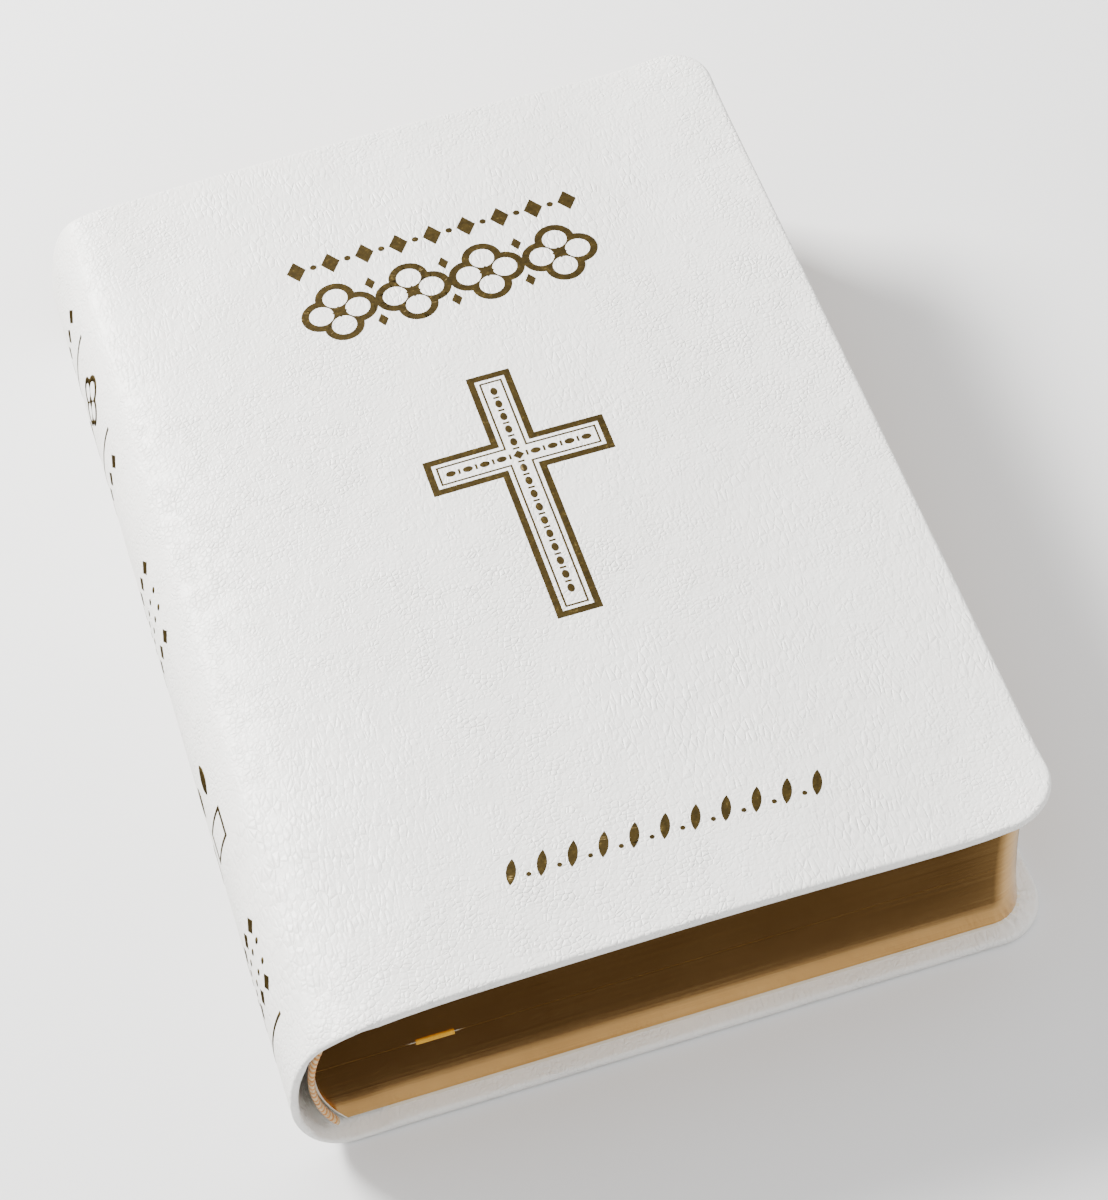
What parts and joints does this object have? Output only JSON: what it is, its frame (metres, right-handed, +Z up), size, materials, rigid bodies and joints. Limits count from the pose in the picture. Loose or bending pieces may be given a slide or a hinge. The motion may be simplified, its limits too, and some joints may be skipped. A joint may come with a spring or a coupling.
{
  "type": "leather-bound bible",
  "caption": "Leather-bound book of scripture with a rounded spine, gilt page edges, hinged covers, marker ribbon, and a Latin cross and ornament in foil.",
  "frame": {"origin": "middle of the closed book's underside", "axes": "+X from the spine to the fore-edge, +Y from the tail to the head, +Z up through the front cover"},
  "size_m": [0.165, 0.235, 0.0459],
  "materials": {
    "leather": "satin",
    "foil": "gloss",
    "board": "matte",
    "endpaper": "matte",
    "pages": "matte",
    "gilt": "gloss",
    "cloth": "matte",
    "kraft": "matte",
    "band": "satin",
    "band_wraps": "satin",
    "ribbon": "gloss"
  },
  "bodies": {
    "text_block": {"section_09": "pages", "section_10": "pages", "section_11": "pages", "section_12": "pages", "section_13": "pages", "section_14": "pages", "section_15": "pages", "section_16": "pages", "back_gilding": "gilt", "back_flyleaf": "endpaper", "centre_sheet": "pages", "sewing_tapes": "cloth", "mull": "cloth", "spine_lining": "kraft", "head_band": "band", "head_band_wraps": "band_wraps", "tail_band": "band", "tail_band_wraps": "band_wraps", "spine_leather": "leather", "spine_inlay": "kraft", "spine_ornament": "foil", "back_hinge_leather": "leather", "ribbon_anchor": "ribbon", "ribbon_fold": "ribbon"},
    "front_pages": {"section_01": "pages", "section_02": "pages", "section_03": "pages", "section_04": "pages", "section_05": "pages", "section_06": "pages", "section_07": "pages", "section_08": "pages", "front_gilding": "gilt", "front_flyleaf": "endpaper", "front_hinge_leather": "leather"},
    "front_cover": {"front_leather": "leather", "front_board": "board", "front_pastedown": "endpaper", "title_ornament": "foil", "cross_border": "foil", "cross_line": "foil", "cross_beads": "foil", "lower_ornament": "foil"},
    "back_cover": {"back_leather": "leather", "back_board": "board", "back_pastedown": "endpaper"},
    "ribbon": {"ribbon_tail": "ribbon"}
  },
  "joints": [
    {"name": "page_opening", "type": "hinge", "parent": "text_block", "child": "front_pages", "pos_m": [-0.0822, 0, 0.024], "axis": [0, -1, 0], "range_deg": [0, 180], "deforming": ["spine_leather", "spine_inlay", "spine_ornament", "mull", "sewing_tapes", "spine_lining", "centre_sheet", "head_band", "head_band_wraps", "tail_band", "tail_band_wraps", "ribbon_anchor"]},
    {"name": "front_cover_hinge", "type": "hinge", "parent": "front_pages", "child": "front_cover", "pos_m": [-0.066, 0, 0.0419], "axis": [0, -1, 0], "range_deg": [0, 160], "deforming": ["front_hinge_leather"]},
    {"name": "back_cover_hinge", "type": "hinge", "parent": "text_block", "child": "back_cover", "pos_m": [-0.07, 0, -0.0016], "axis": [0, 1, 0], "range_deg": [0, 180], "deforming": ["back_hinge_leather"]},
    {"name": "ribbon_swing", "type": "hinge", "parent": "text_block", "child": "ribbon", "pos_m": [-0.0705, 0.11295, 0.024], "axis": [0, 0, 1], "range_deg": [-5, 28], "deforming": ["ribbon_fold"]}
  ]
}
